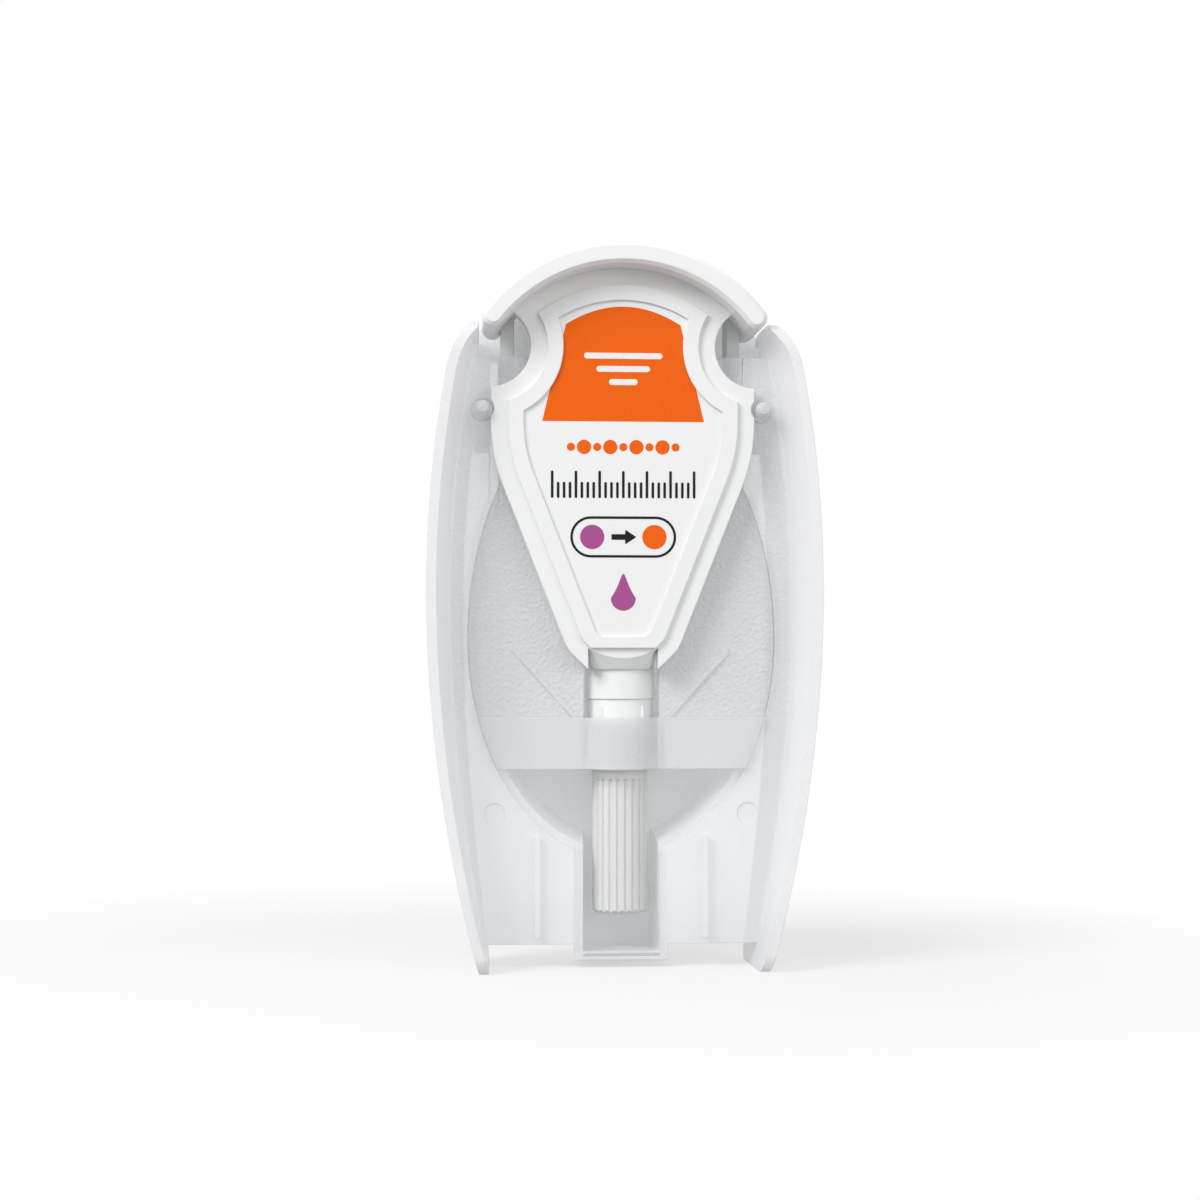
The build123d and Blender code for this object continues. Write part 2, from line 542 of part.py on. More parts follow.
def reagent():
    """Liquid that fills the lower part of an ampoule."""
    hollow = Pos(0, 0, AMPOULE_WALL) * capsule(AMPOULE_RADIUS - AMPOULE_WALL,
                                               AMPOULE_LENGTH - 2 * AMPOULE_WALL)
    return hollow & between(0, AMPOULE_BOTTOM_Z + AMPOULE_LENGTH * FILL)


def cushion_pad():
    return bar(TUBE_BORE - INNER_GAP, PAD_BOTTOM_Z, PAD_BOTTOM_Z + PAD)


nodes = {
    "holder_shell": holder_shell(),
    "holder_lid": holder_lid(),
    "collector_handle": collector_handle(),
    "seal_ring": seal_ring(),
    "reaction_tube": reaction_tube(),
    "stem_plug": stem_plug(),
    "sampling_stem": sampling_stem(),
    "sampling_tip": sampling_tip(),
    "breaker_crown": breaker_crown(),
    "right_ampoule": ampoule(),
    "left_ampoule": mirrored(ampoule()),
    "right_reagent": reagent(),
    "left_reagent": mirrored(reagent()),
    "cushion_pad": cushion_pad(),
}

os.makedirs("parts", exist_ok=True)
for name, solid in nodes.items():
    export_step(solid, f"parts/{name}.step")
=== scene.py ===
import json
import math

import bpy
import numpy as np
from bpy.props import FloatProperty, FloatVectorProperty, IntProperty, PointerProperty
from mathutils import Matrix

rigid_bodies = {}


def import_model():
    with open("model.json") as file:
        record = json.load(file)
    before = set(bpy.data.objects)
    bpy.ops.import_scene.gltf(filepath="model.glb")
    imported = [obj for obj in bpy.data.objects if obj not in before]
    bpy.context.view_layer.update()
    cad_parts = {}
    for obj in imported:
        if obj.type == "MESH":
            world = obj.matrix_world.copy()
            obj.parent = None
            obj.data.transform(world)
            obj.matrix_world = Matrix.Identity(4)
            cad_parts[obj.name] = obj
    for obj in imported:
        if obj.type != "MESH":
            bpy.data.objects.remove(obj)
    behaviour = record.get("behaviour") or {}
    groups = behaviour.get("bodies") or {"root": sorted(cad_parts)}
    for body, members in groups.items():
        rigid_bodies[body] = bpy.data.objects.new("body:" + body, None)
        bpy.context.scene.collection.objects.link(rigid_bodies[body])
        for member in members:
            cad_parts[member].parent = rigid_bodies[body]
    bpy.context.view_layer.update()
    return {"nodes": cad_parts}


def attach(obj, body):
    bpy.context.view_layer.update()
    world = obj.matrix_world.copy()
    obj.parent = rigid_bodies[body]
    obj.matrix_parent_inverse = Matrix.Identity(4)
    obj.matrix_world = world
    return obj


bl_info = {
    "name": "Colour reagent test cassette",
    "version": (1, 0, 0),
    "blender": (4, 5, 0),
    "location": "View3D > Sidebar > Cassette",
    "description": "Prints, finishes, floor, lamps and camera for an upright reagent cassette",
    "category": "Object",
}

for leftover in list(bpy.data.objects):
    bpy.data.objects.remove(leftover)
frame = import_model()
NODES = frame["nodes"]
MM = 0.001

# Places and rings on the holder, in millimetres
STRAP_TOP_Z = 40.4
GRAIN_FROM_Z = STRAP_TOP_Z + 0.2   # the pebble grain starts here, on the lid and the middle plate
GRAIN_HALF = 27.5                  # on the middle plate it ends this far out
PLATE_FACE_Y = -1.0                # front face of the middle plate
PEG_X, PEG_Z = 22.55, 90.0         # axis of the right peg
PEG_END_Y = -5.8                   # where the ring on a peg's domed end sits
ROOT_RING_RADIUS, END_RING_RADIUS, RING_WIDTH = 1.75, 0.72, 0.3

# The print on the shield, in millimetres
FIELD_Y = -4.5                     # face of the label field
INK_SEAT = 0.02                    # the lowest ink reaches this far into the field
PANEL_BASE_HALF, PANEL_BASE_Z = 13.0, 87.9
PANEL_TOP_HALF, PANEL_TOP_Z, PANEL_CROWN_Z = 9.2, 103.4, 106.3
BAR_COUNT, BAR_TOP_Z, BAR_STEP = 3, 98.4, 2.1
BAR_LENGTH, BAR_LOSS, BAR_HEIGHT = 12.6, 4.0, 0.95
DOT_COUNT, DOT_REACH, DOT_Z = 9, 8.4, 83.8
DOT_LARGE, DOT_SMALL = 1.15, 0.65
SCALE_REACH, SCALE_Z = 11.4, 75.6
TICK_WIDTH, TICK_LONG, TICK_SHORT, TICK_GROUP = 0.42, 4.4, 2.6, 4
KEY_Z, KEY_LENGTH, KEY_HEIGHT, KEY_LINE = 69.4, 17.0, 6.6, 0.4
CHIP_X, CHIP_RADIUS = 5.0, 1.95
ARROW_TAIL_X, ARROW_NECK_X, ARROW_TIP_X = -1.9, 0.3, 2.1
SHAFT_HALF, HEAD_HALF, ARROW_ROUND = 0.45, 1.2, 0.12
DROP_Z, DROP_RADIUS, DROP_STRETCH, DROP_TAPER = 59.6, 2.0, 1.9, 0.55

# The stage, with its lengths in metres
WHITE = (1, 1, 1, 1)
SKY_LIGHT, FLOOR_LIGHT = 0.64, 0.3  # what white surroundings and floor give as light, not to the eye
FLOOR_HALF = 3.0
FLOOR_GREY, FLOOR_GLOW = 0.42, 0.50
FADE_CENTRE = (-0.02, 0, 0)        # the floor turns white away from this place
FADE_START, FADE_END, FADE_SPAN = 0.07, 0.15, 0.2
LAMP_AIM = (0, 0, 0.055)           # the middle of the part
VIEW_TURN = -4.5                   # degrees: the camera stands a little to the left
VIEW_DISTANCE = 0.375
VIEW_TARGET = (0, -0.0049, 0.0493)
PICTURE_WIDTH = 0.192              # what the picture's width spans at the target
PICTURE_PIXELS = 1200
TARGET_RIGHT, TARGET_BELOW = 23.5, 62.5   # pixels from the picture's middle to the target
SENSOR_WIDTH = 36                  # millimetres


# Settings that a user would change

class CassetteLook(bpy.types.PropertyGroup):
    """Colours and sizes of the finishes and of the print."""

    white: FloatVectorProperty(
        name="White plastic", description="Colour of the handle and of the white bars",
        subtype="COLOR", size=3, min=0, max=1, default=(0.90, 0.91, 0.905))
    frosted: FloatVectorProperty(
        name="Frosted plastic", description="Colour of the holder", subtype="COLOR",
        size=3, min=0, max=1, default=(0.93, 0.94, 0.96))
    milkiness: FloatProperty(
        name="Milkiness", description="How much of the light each face of the holder holds back",
        subtype="FACTOR", min=0.2, max=1.0, default=0.50)
    natural: FloatVectorProperty(
        name="Natural plastic", description="Colour of the tube", subtype="COLOR",
        size=3, min=0, max=1, default=(0.88, 0.89, 0.88))
    orange: FloatVectorProperty(
        name="Orange ink", description="Colour of the large printed panel", subtype="COLOR",
        size=3, min=0, max=1, default=(0.92, 0.135, 0.004))
    purple: FloatVectorProperty(
        name="Purple ink", description="Colour of the drop and of the first chip of the key",
        subtype="COLOR", size=3, min=0, max=1, default=(0.42, 0.09, 0.30))
    black: FloatVectorProperty(
        name="Black ink", description="Colour of the scale, the arrow and the outline of the key",
        subtype="COLOR", size=3, min=0, max=1, default=(0.012, 0.013, 0.013))
    ink_height: FloatProperty(
        name="Ink height", description="Thickness of one layer of ink", subtype="DISTANCE",
        unit="LENGTH", min=0.00001, max=0.0002, default=0.00003)
    grain_size: FloatProperty(
        name="Grain size", description="Width of one pebble of the holder's grain",
        subtype="DISTANCE", unit="LENGTH", min=0.0002, max=0.003, default=0.0006)
    edge_round: FloatProperty(
        name="Edge rounding", description="Radius at which moulded edges catch the light",
        subtype="DISTANCE", unit="LENGTH", min=0.0, max=0.001, default=0.00025)
    tick_count: IntProperty(
        name="Ticks", description="Number of ticks on the printed scale", min=3, max=60,
        default=25)


# Outlines: arrays of (x, z) points in millimetres, anticlockwise as seen from the front

def circle_outline(x, z, radius, points=40):
    """Points at equal angles on a circle: centre plus radius times (cos, sin)."""
    angle = np.linspace(0, 2 * np.pi, points, endpoint=False)
    return np.column_stack([x + radius * np.cos(angle), z + radius * np.sin(angle)])


def bar_outline(x, z, width, height, points=12):
    """An upright or level bar with round ends: two half circles on the longer axis."""
    radius = min(width, height) / 2
    reach = np.array([max(width - height, 0), max(height - width, 0)]) / 2
    start = -np.pi / 2 if width >= height else 0.0
    angle = start + np.linspace(0, np.pi, points)
    end = radius * np.column_stack([np.cos(angle), np.sin(angle)]) + reach
    return np.vstack([end, -end]) + (x, z)


def rounded_outline(corners, radius, points=4):
    """Corners joined by straight lines, each cut by an arc that touches both of its sides."""
    corner = np.asarray(corners, float)
    before = np.roll(corner, 1, axis=0) - corner
    after = np.roll(corner, -1, axis=0) - corner
    before /= np.linalg.norm(before, axis=1, keepdims=True)
    after /= np.linalg.norm(after, axis=1, keepdims=True)
    half = np.arccos(np.clip((before * after).sum(1), -1, 1)) / 2
    middle = before + after
    middle /= np.linalg.norm(middle, axis=1, keepdims=True)
    centre = corner + middle * (radius / np.sin(half))[:, None]
    first = corner + before * (radius / np.tan(half))[:, None] - centre
    last = corner + after * (radius / np.tan(half))[:, None] - centre
    share = np.linspace(0, 1, points)[None, :, None]
    sweep = (np.pi - 2 * half)[:, None, None]
    arc = np.sin((1 - share) * sweep) * first[:, None] + np.sin(share * sweep) * last[:, None]
    return (centre[:, None] + arc / np.sin(sweep)).reshape(-1, 2)


def panel_outline(base_half, base_z, top_half, top_z, crown_z, points=24):
    """A panel with straight leaning sides and a bowed top: z falls with the square of x."""
    x = np.linspace(top_half, -top_half, points)
    top = np.column_stack([x, top_z + (crown_z - top_z) * (1 - (x / top_half) ** 2)])
    return np.vstack([[(-base_half, base_z), (base_half, base_z)], top])


def arrow_outline(z, tail, neck, tip):
    """A level arrow that points to the right: a straight shaft from tail to neck, then its head."""
    return rounded_outline(
        [(tail, z - SHAFT_HALF), (neck, z - SHAFT_HALF), (neck, z - HEAD_HALF), (tip, z),
         (neck, z + HEAD_HALF), (neck, z + SHAFT_HALF), (tail, z + SHAFT_HALF)], ARROW_ROUND)


def drop_outline(z, radius, stretch, taper, points=48):
    """A circle on the middle line whose upper half is narrowed and drawn up to a point.

    With p the height over the middle, as a share of the radius, x shrinks by the taper times p
    and z rises by the stretch times the cube of p.
    """
    drop = circle_outline(0, z, radius, points)
    pull = np.clip((drop[:, 1] - z) / radius, 0, 1)
    return np.column_stack([drop[:, 0] * (1 - taper * pull), drop[:, 1] + stretch * pull ** 3])


# Meshes

def link(name, mesh, body, material, smooth=False):
    """Put a finished mesh into the scene at the origin and let it ride on a body."""
    if smooth:
        mesh.shade_smooth()
    mesh.materials.append(material)
    piece = bpy.data.objects.new(name, mesh)
    bpy.context.scene.collection.objects.link(piece)
    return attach(piece, body)


def mesh_of(name, vertices, faces):
    """A mesh from vertices in millimetres and lists of their numbers, one for each face."""
    mesh = bpy.data.meshes.new(name)
    mesh.from_pydata((vertices * MM).tolist(), [], faces)
    return mesh


def layer(name, outlines, back_y, front_y):
    """Flat islands between two depths: every outline gets a front, a back and a side wall."""
    vertices, faces, first = [], [], 0
    for outline in outlines:
        count = len(outline)
        ring = np.arange(count)
        after = np.roll(ring, -1)
        for y in (front_y, back_y):
            vertices.append(np.column_stack([outline[:, 0], np.full(count, y), outline[:, 1]]))
        faces.append((first + ring).tolist())
        faces.append((first + count + ring[::-1]).tolist())
        sides = np.column_stack([ring, ring + count, after + count, after]) + first
        faces += sides.tolist()
        first += 2 * count
    return mesh_of(name, np.vstack(vertices), faces)


def frame_layer(name, outer, inner, back_y, front_y):
    """A flat ring between two outlines with the same number of points, closed all round."""
    count = len(outer)
    ring = np.arange(count)
    after = np.roll(ring, -1)
    loops = [(outer, front_y), (inner, front_y), (inner, back_y), (outer, back_y)]
    vertices = np.vstack([np.column_stack([loop[:, 0], np.full(count, y), loop[:, 1]])
                          for loop, y in loops])
    faces = [np.column_stack([a * count + ring, a * count + after,
                              b * count + after, b * count + ring])
             for a, b in ((1, 0), (2, 1), (3, 2), (0, 3))]
    return mesh_of(name, vertices, np.vstack(faces)[:, ::-1].tolist())


def rings(name, places, radius, width, y, turns=40, round_points=10):
    """Round beads about depthwise axes: a circle of half the width, carried round each place.

    A point is the place plus (radius + w cos b) times (cos a, sin a), and w sin b in front of y,
    where w is half the width.
    """
    a, b = np.meshgrid(np.linspace(0, 2 * np.pi, turns, endpoint=False),
                       np.linspace(0, 2 * np.pi, round_points, endpoint=False), indexing="ij")
    reach = radius + width / 2 * np.cos(b)
    bead = np.stack([reach * np.cos(a), y - width / 2 * np.sin(b), reach * np.sin(a)], axis=-1)
    vertices = np.concatenate([bead.reshape(-1, 3) + (x, 0, z) for x, z in places])
    i, j = np.meshgrid(np.arange(turns), np.arange(round_points), indexing="ij")
    after, beside = (i + 1) % turns, (j + 1) % round_points
    quads = np.stack([i * round_points + j, i * round_points + beside,
                      after * round_points + beside, after * round_points + j], axis=-1)
    quads = quads.reshape(-1, 4)
    faces = np.concatenate([quads + n * turns * round_points for n in range(len(places))])
    return mesh_of(name, vertices, faces.tolist())


# Shaders

class Term:
    """A socket in a formula: the operators add Math nodes, so that 1 + 2 * mask can be written."""

    def __init__(self, finish, socket):
        self.finish = finish
        self.socket = socket

    def _math(self, operation, first, second=0.0):
        made = self.finish.node("ShaderNodeMath", {0: first, 1: second}, operation=operation)
        return Term(self.finish, made.outputs[0])

    def __add__(self, other):
        return self._math("ADD", self, other)

    __radd__ = __add__

    def __mul__(self, other):
        return self._math("MULTIPLY", self, other)

    __rmul__ = __mul__

    def __gt__(self, other):
        return self._math("GREATER_THAN", self, other)

    def __lt__(self, other):
        return self._math("LESS_THAN", self, other)

    def most(self, other):
        return self._math("MAXIMUM", self, other)

    def absolute(self):
        return self._math("ABSOLUTE", self)


class Finish:
    """A node material, or the world's nodes, that is being built."""

    def __init__(self, tree):
        self.tree = tree
        self.tree.nodes.clear()

    def node(self, kind, sockets=None, stops=None, **settings):
        """Add a node: its settings and ramp stops first, then values or links for its sockets."""
        made = self.tree.nodes.new(kind)
        for key, value in settings.items():
            setattr(made, key, value)
        if stops:
            ramp = made.color_ramp
            while len(ramp.elements) < len(stops):
                ramp.elements.new(1.0)
            for element, (place, level) in zip(ramp.elements, stops):
                element.position = place
                element.color = (level, level, level, 1)
        for key, value in (sockets or {}).items():
            self.plug(made.inputs[key], value)
        return made

    def plug(self, socket, value):
        if isinstance(value, Term):
            self.tree.links.new(value.socket, socket)
        else:
            socket.default_value = value

    def out(self, made, socket=0):
        return Term(self, made.outputs[socket])

    def place(self):
        """Object coordinates."""
        return self.out(self.node("ShaderNodeTexCoord"), "Object")

    def along(self, axis):
        """One of the Object coordinates, in metres: X, Y or Z."""
        return self.out(self.node("ShaderNodeSeparateXYZ", {0: self.place()}), axis)

    def noise(self, size, detail=2.0, roughness=0.5, place=None):
        """Cloud noise whose patches are about as wide as size, in metres."""
        return self.out(self.node("ShaderNodeTexNoise", {
            "Vector": place or self.place(), "Scale": 1 / size, "Detail": detail,
            "Roughness": roughness}))

    def pebbles(self, size):
        """Distance to the nearest pebble's middle, for cells about as wide as size."""
        return self.out(self.node("ShaderNodeTexVoronoi", {
            "Vector": self.place(), "Scale": 1 / size, "Smoothness": 0.6}, feature="SMOOTH_F1"))

    def ramp(self, value, stops):
        """Grey levels between stops of (value, level)."""
        return self.out(self.node("ShaderNodeValToRGB", {0: value}, stops=stops))

    def blend(self, share, first, second):
        """A colour between two colours."""
        made = self.node("ShaderNodeMix", {0: share, 6: (*first, 1), 7: (*second, 1)},
                         data_type="RGBA")
        return self.out(made, 2)

    def edges(self, radius):
        """Normals that run round the moulded edges."""
        return self.out(self.node("ShaderNodeBevel", {"Radius": radius}, samples=6))

    def relief(self, height, depth, normal=None):
        """Normals of a surface that rises by height times depth, in metres."""
        sockets = {"Height": height, "Distance": depth, "Strength": 1.0}
        if normal is not None:
            sockets["Normal"] = normal
        return self.out(self.node("ShaderNodeBump", sockets))

    def seen(self):
        """1 for what the eye sees straight on, through glass or in a gloss, and 0 for light."""
        path = self.node("ShaderNodeLightPath")
        straight, through, mirrored = (self.out(path, f"Is {kind} Ray")
                                       for kind in ("Camera", "Transmission", "Glossy"))
        return straight.most(through).most(mirrored)

    def glow(self, strength):
        return self.out(self.node("ShaderNodeEmission", {"Color": WHITE, "Strength": strength}))

    def plastic(self, **sockets):
        """The main shader. An argument's name is the socket's, with low lines for spaces."""
        named = {key.replace("_", " "): value for key, value in sockets.items()}
        return self.out(self.node("ShaderNodeBsdfPrincipled", named))

    def surface(self, shader, output="ShaderNodeOutputMaterial"):
        made = self.node(output)
        self.tree.links.new(shader.socket, made.inputs["Surface"])


def new_finish(name):
    """An empty material and the finish that builds its nodes."""
    material = bpy.data.materials.new(name)
    material.use_nodes = True
    return material, Finish(material.node_tree)


def shade(colour, factor):
    return tuple(level * factor for level in colour)


def milky(finish, look, colour, rough, normal):
    """Unpigmented plastic: each face lets a set share of the light straight through."""
    return finish.plastic(Base_Color=colour, Roughness=rough, Normal=normal, IOR=1.49,
                          Alpha=look.milkiness)


def frosted_plastic(look):
    """Milky moulded wall: faint flow clouds and a silky skin, pebbled high on the middle plate."""
    material, finish = new_finish("frosted_wall")
    clouds = finish.noise(0.018, detail=3.0)
    skin = finish.noise(0.0009, detail=4.0, roughness=0.65)
    flow = finish.noise(0.006)
    high = finish.along("Z") > GRAIN_FROM_Z * MM
    inside = finish.along("X").absolute() < GRAIN_HALF * MM
    grain = finish.pebbles(look.grain_size) * (high * inside)
    colour = finish.blend(clouds, shade(look.frosted, 0.96), look.frosted)
    rough = finish.ramp(flow, [(0.3, 0.30), (0.7, 0.44)])
    normal = finish.relief(grain + skin * 0.2 + flow * 0.2, depth=0.00013,
                           normal=finish.edges(look.edge_round))
    finish.surface(milky(finish, look, colour, rough, normal))
    return material


def grained_plastic(look):
    """The lid: fine pebble grain above the strap, almost smooth on the strap."""
    material, finish = new_finish("grained_lid")
    above = finish.along("Z") > GRAIN_FROM_Z * MM
    pebbles = finish.pebbles(look.grain_size)
    fine = finish.noise(look.grain_size * 0.5, detail=3.0)
    clouds = finish.noise(0.014)
    grain = (pebbles + fine * 0.3) * (above * 0.94 + 0.06)
    colour = finish.blend(clouds, shade(look.frosted, 0.94), shade(look.frosted, 0.98))
    rough = finish.ramp(fine, [(0.35, 0.22), (0.7, 0.40)])
    normal = finish.relief(grain, depth=0.00017, normal=finish.edges(look.edge_round))
    finish.surface(milky(finish, look, colour, rough, normal))
    return material


def white_plastic(look):
    """Satin handle plastic with a fine spark-eroded skin."""
    material, finish = new_finish("white_satin")
    skin = finish.noise(0.0006, detail=3.0, roughness=0.6)
    clouds = finish.noise(0.02)
    finish.surface(finish.plastic(
        Base_Color=finish.blend(clouds, shade(look.white, 0.975), look.white),
        Roughness=finish.ramp(clouds * 0.6 + skin * 0.4, [(0.3, 0.27), (0.7, 0.38)]),
        Normal=finish.relief(skin, depth=0.000012, normal=finish.edges(look.edge_round)), IOR=1.5))
    return material


def natural_plastic(look):
    """Tube: unpigmented plastic, a little darker and softer than the handle."""
    material, finish = new_finish("natural_tube")
    clouds = finish.noise(0.01)
    skin = finish.noise(0.0008, detail=3.0)
    edges = finish.edges(look.edge_round * 0.5)
    finish.surface(finish.plastic(
        Base_Color=finish.blend(clouds, shade(look.natural, 0.96), look.natural),
        Roughness=finish.ramp(skin, [(0.3, 0.33), (0.7, 0.45)]),
        Normal=finish.relief(skin, depth=0.000012, normal=edges), IOR=1.5, Transmission_Weight=0.12))
    return material


def ink(name, colour):
    """Pad-printed ink: slightly uneven cover and a soft gloss."""
    material, finish = new_finish(name)
    cover = finish.noise(0.0005, detail=4.0, roughness=0.7)
    thin = finish.ramp(cover, [(0.35, 0.0), (0.65, 1.0)])
    finish.surface(finish.plastic(
        Base_Color=finish.blend(thin, shade(colour, 0.93), colour),
        Roughness=finish.ramp(cover, [(0.3, 0.34), (0.7, 0.46)]),
        Normal=finish.relief(cover, depth=0.000006), Specular_IOR_Level=0.15))
    return material


def clear_glass():
    """Thin-walled ampoule glass with a faint ripple in its polish."""
    material, finish = new_finish("ampoule_glass")
    ripple = finish.noise(0.004, detail=1.0)
    finish.surface(finish.plastic(
        Base_Color=(0.96, 0.98, 0.98, 1), Roughness=finish.ramp(ripple, [(0, 0.01), (1, 0.04)]),
        IOR=1.5, Transmission_Weight=1.0))
    return material


def liquid(name, colour):
    """Clear or tinted reagent, with a slight haze in its colour."""
    material, finish = new_finish(name)
    haze = finish.noise(0.003, detail=1.0)
    finish.surface(finish.plastic(
        Base_Color=finish.blend(haze, shade(colour, 0.9), colour), Roughness=0.05, IOR=1.34,
        Transmission_Weight=0.9))
    return material


def fibres(name, colour):
    """Felt or flocked fibre: noise drawn out upwards, in colour and relief."""
    material, finish = new_finish(name)
    stretched = finish.node("ShaderNodeMapping", {"Vector": finish.place(), "Scale": (1, 1, 0.25)})
    strands = finish.noise(0.00025, detail=4.0, place=finish.out(stretched))
    finish.surface(finish.plastic(
        Base_Color=finish.blend(strands, shade(colour, 0.85), colour), Roughness=0.9,
        Normal=finish.relief(strands, depth=0.00008)))
    return material


def soft_seal():
    """Rubbery grey-white of the seal ring."""
    material, finish = new_finish("soft_seal")
    skin = finish.noise(0.001)
    finish.surface(finish.plastic(
        Base_Color=finish.blend(skin, (0.80, 0.80, 0.79), (0.85, 0.85, 0.84)),
        Roughness=finish.ramp(skin, [(0.3, 0.5), (0.7, 0.62)]),
        Normal=finish.relief(skin, depth=0.00001)))
    return material


# Operators

class CASSETTE_OT_finishes(bpy.types.Operator):
    """Give every moulded piece its own finish"""

    bl_idname = "cassette.finishes"
    bl_label = "Apply finishes"

    def execute(self, context):
        look = context.scene.cassette
        white = white_plastic(look)
        glass = clear_glass()
        materials = {
            "holder_shell": frosted_plastic(look), "holder_lid": grained_plastic(look),
            "collector_handle": white, "stem_plug": white, "breaker_crown": white,
            "sampling_stem": white, "reaction_tube": natural_plastic(look),
            "seal_ring": soft_seal(), "left_ampoule": glass, "right_ampoule": glass,
            "left_reagent": liquid("amber_reagent", (0.85, 0.62, 0.25)),
            "right_reagent": liquid("clear_reagent", (0.90, 0.94, 0.95)),
            "sampling_tip": fibres("flocked_tip", (0.90, 0.89, 0.86)),
            "cushion_pad": fibres("felt_pad", (0.86, 0.85, 0.81))}
        for name, node in NODES.items():
            node.material_slots[0].material = materials[name]
        return {"FINISHED"}


class CASSETTE_OT_pegs(bpy.types.Operator):
    """Put the moulded rings round the roots and on the ends of the snap pegs"""

    bl_idname = "cassette.pegs"
    bl_label = "Add peg rings"

    def execute(self, context):
        milk = NODES["holder_shell"].material_slots[0].material
        pegs = [(PEG_X, PEG_Z), (-PEG_X, PEG_Z)]
        for name, radius, y in (("peg_root_rings", ROOT_RING_RADIUS, PLATE_FACE_Y),
                                ("peg_end_rings", END_RING_RADIUS, PEG_END_Y)):
            link(name, rings(name, pegs, radius, RING_WIDTH, y), "holder", milk, smooth=True)
        return {"FINISHED"}


class CASSETTE_OT_print(bpy.types.Operator):
    """Print the label field: orange panel, dot row, tick scale, colour key and drop"""

    bl_idname = "cassette.print"
    bl_label = "Print label"

    def execute(self, context):
        look = context.scene.cassette
        orange = ink("orange_ink", look.orange)
        black = ink("black_ink", look.black)
        purple = ink("purple_ink", look.purple)
        white = ink("white_ink", look.white)
        thickness = look.ink_height / MM
        on_field = (FIELD_Y + INK_SEAT, FIELD_Y - thickness)
        on_panel = (FIELD_Y - thickness + INK_SEAT / 2, FIELD_Y - 2 * thickness)

        panel = panel_outline(PANEL_BASE_HALF, PANEL_BASE_Z, PANEL_TOP_HALF, PANEL_TOP_Z,
                              PANEL_CROWN_Z)
        bars = [bar_outline(0, BAR_TOP_Z - BAR_STEP * n, BAR_LENGTH - BAR_LOSS * n, BAR_HEIGHT)
                for n in range(BAR_COUNT)]
        dots = [circle_outline(x, DOT_Z, DOT_LARGE if n % 2 else DOT_SMALL)
                for n, x in enumerate(np.linspace(-DOT_REACH, DOT_REACH, DOT_COUNT))]
        self.put("print_panel", [panel], on_field, orange)
        self.put("print_bars", bars, on_panel, white)
        self.put("print_dots", dots, on_field, orange)
        self.put("print_scale", self.ticks(look.tick_count), on_field, black)

        case = bar_outline(0, KEY_Z, KEY_LENGTH, KEY_HEIGHT, points=24)
        case_inner = bar_outline(0, KEY_Z, KEY_LENGTH - 2 * KEY_LINE, KEY_HEIGHT - 2 * KEY_LINE,
                                 points=24)
        left_chip, right_chip = (circle_outline(x, KEY_Z, CHIP_RADIUS) for x in (-CHIP_X, CHIP_X))
        arrow = arrow_outline(KEY_Z, ARROW_TAIL_X, ARROW_NECK_X, ARROW_TIP_X)
        link("print_key_frame", frame_layer("print_key_frame", case, case_inner, *on_field),
             "collector", black)
        self.put("print_key_purple", [left_chip], on_field, purple)
        self.put("print_key_orange", [right_chip], on_field, orange)
        self.put("print_key_arrow", [arrow], on_field, black)

        drop = drop_outline(DROP_Z, DROP_RADIUS, DROP_STRETCH, DROP_TAPER)
        self.put("print_drop", [drop], on_field, purple)
        return {"FINISHED"}

    def put(self, name, outlines, depths, material):
        """Print outlines in one ink, between a back and a front depth."""
        link(name, layer(name, outlines, *depths), "collector", material)

    def ticks(self, count):
        """Ticks that stand on one line, the first of each group a longer one."""
        places = np.linspace(-SCALE_REACH, SCALE_REACH, count)
        heights = np.where(np.arange(count) % TICK_GROUP == 0, TICK_LONG, TICK_SHORT)
        return [bar_outline(x, SCALE_Z + tall / 2, TICK_WIDTH, tall, points=6)
                for x, tall in zip(places, heights)]


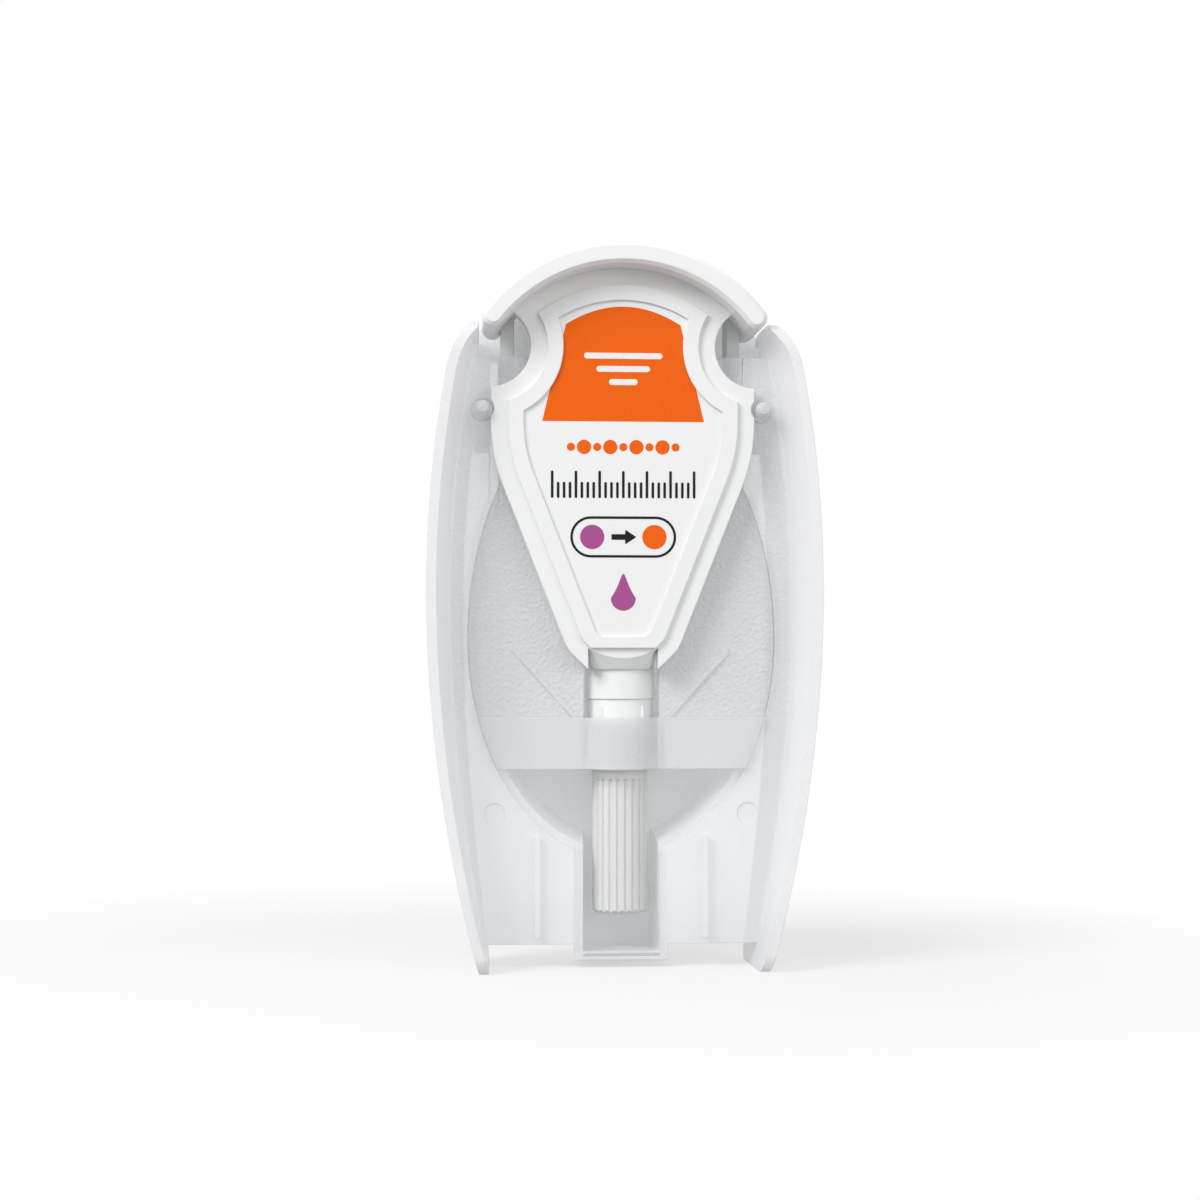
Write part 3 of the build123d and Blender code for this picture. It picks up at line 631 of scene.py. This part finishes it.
class CASSETTE_OT_stage(bpy.types.Operator):
    """Floor, lamps, white surroundings and the camera"""

    bl_idname = "cassette.stage"
    bl_label = "Set the stage"

    def execute(self, context):
        scene = context.scene
        scene.view_settings.view_transform = "Standard"
        self.floor(scene)
        self.surroundings(scene)
        self.lamp(scene, "key_lamp", place=(-0.42, -0.36, 0.44), width=0.30, power=2.9)
        self.lamp(scene, "fill_lamp", place=(0.45, -0.50, 0.25), width=0.50, power=1.0)
        self.camera(scene)
        return {"FINISHED"}

    def floor(self, scene):
        """A pale floor that keeps the shadow of the part, and is plain white further off."""
        mesh = bpy.data.meshes.new("floor")
        corners = FLOOR_HALF * np.array([(-1, -1, 0), (1, -1, 0), (1, 1, 0), (-1, 1, 0)])
        mesh.from_pydata(corners.tolist(), [], [[0, 1, 2, 3]])
        material, finish = new_finish("pale_floor")
        seen = finish.seen()
        matt = finish.out(finish.node("ShaderNodeBsdfDiffuse", {
            "Color": (FLOOR_GREY, FLOOR_GREY, FLOOR_GREY, 1)}))
        near = finish.out(finish.node("ShaderNodeAddShader", {
            0: matt, 1: finish.glow(seen * FLOOR_GLOW)}))
        white = finish.glow(seen * (1 - FLOOR_LIGHT) + FLOOR_LIGHT)
        reach = finish.out(finish.node("ShaderNodeVectorMath", {
            0: finish.place(), 1: FADE_CENTRE}, operation="DISTANCE"), "Value")
        far = finish.ramp(reach * (1 / FADE_SPAN),
                          [(FADE_START / FADE_SPAN, 0.0), (FADE_END / FADE_SPAN, 1.0)])
        finish.surface(finish.out(finish.node("ShaderNodeMixShader", {0: far, 1: near, 2: white})))
        mesh.materials.append(material)
        floor = bpy.data.objects.new("floor", mesh)
        scene.collection.objects.link(floor)

    def surroundings(self, scene):
        """White to the eye and in reflections, dimmer as a light."""
        world = bpy.data.worlds.new("studio")
        scene.world = world
        world.use_nodes = True
        finish = Finish(world.node_tree)
        sky = finish.node("ShaderNodeBackground", {
            "Color": WHITE, "Strength": finish.seen() * (1 - SKY_LIGHT) + SKY_LIGHT})
        finish.surface(finish.out(sky), output="ShaderNodeOutputWorld")

    def lamp(self, scene, name, place, width, power):
        """A square lamp that faces the middle of the part. Its power is in watts."""
        data = bpy.data.lights.new(name, "AREA")
        data.shape = "SQUARE"
        data.size = width
        data.energy = power
        lamp = bpy.data.objects.new(name, data)
        scene.collection.objects.link(lamp)
        away = np.array(place) - LAMP_AIM
        lamp.location = place
        lamp.rotation_euler = (math.acos(away[2] / np.linalg.norm(away)), 0,
                               math.atan2(away[1], away[0]) + math.pi / 2)

    def camera(self, scene):
        """The photograph's view: level, a little from the left, with the part below the middle."""
        turn = math.radians(VIEW_TURN)
        data = bpy.data.cameras.new("camera")
        data.sensor_width = SENSOR_WIDTH
        data.lens = SENSOR_WIDTH * VIEW_DISTANCE / PICTURE_WIDTH
        data.shift_x = -TARGET_RIGHT / PICTURE_PIXELS
        data.shift_y = TARGET_BELOW / PICTURE_PIXELS
        data.clip_start = 0.01
        camera = bpy.data.objects.new("camera", data)
        scene.collection.objects.link(camera)
        x, y, z = VIEW_TARGET
        camera.location = (x + VIEW_DISTANCE * math.sin(turn), y - VIEW_DISTANCE * math.cos(turn), z)
        camera.rotation_euler = (math.pi / 2, 0, turn)
        scene.camera = camera


class CASSETTE_PT_panel(bpy.types.Panel):
    """Buttons and settings in the sidebar"""

    bl_idname = "CASSETTE_PT_panel"
    bl_label = "Cassette"
    bl_space_type = "VIEW_3D"
    bl_region_type = "UI"
    bl_category = "Cassette"

    def draw(self, context):
        look = context.scene.cassette
        for name in CassetteLook.__annotations__:
            self.layout.prop(look, name)
        for operator in OPERATORS:
            self.layout.operator(operator.bl_idname)


OPERATORS = (CASSETTE_OT_finishes, CASSETTE_OT_pegs, CASSETTE_OT_print, CASSETTE_OT_stage)
CLASSES = (CassetteLook, *OPERATORS, CASSETTE_PT_panel)


def register():
    for kind in CLASSES:
        bpy.utils.register_class(kind)
    bpy.types.Scene.cassette = PointerProperty(type=CassetteLook)


def unregister():
    del bpy.types.Scene.cassette
    for kind in reversed(CLASSES):
        bpy.utils.unregister_class(kind)


def main():
    register()
    bpy.ops.cassette.finishes()
    bpy.ops.cassette.pegs()
    bpy.ops.cassette.print()
    bpy.ops.cassette.stage()


if __name__ == "__main__":
    main()
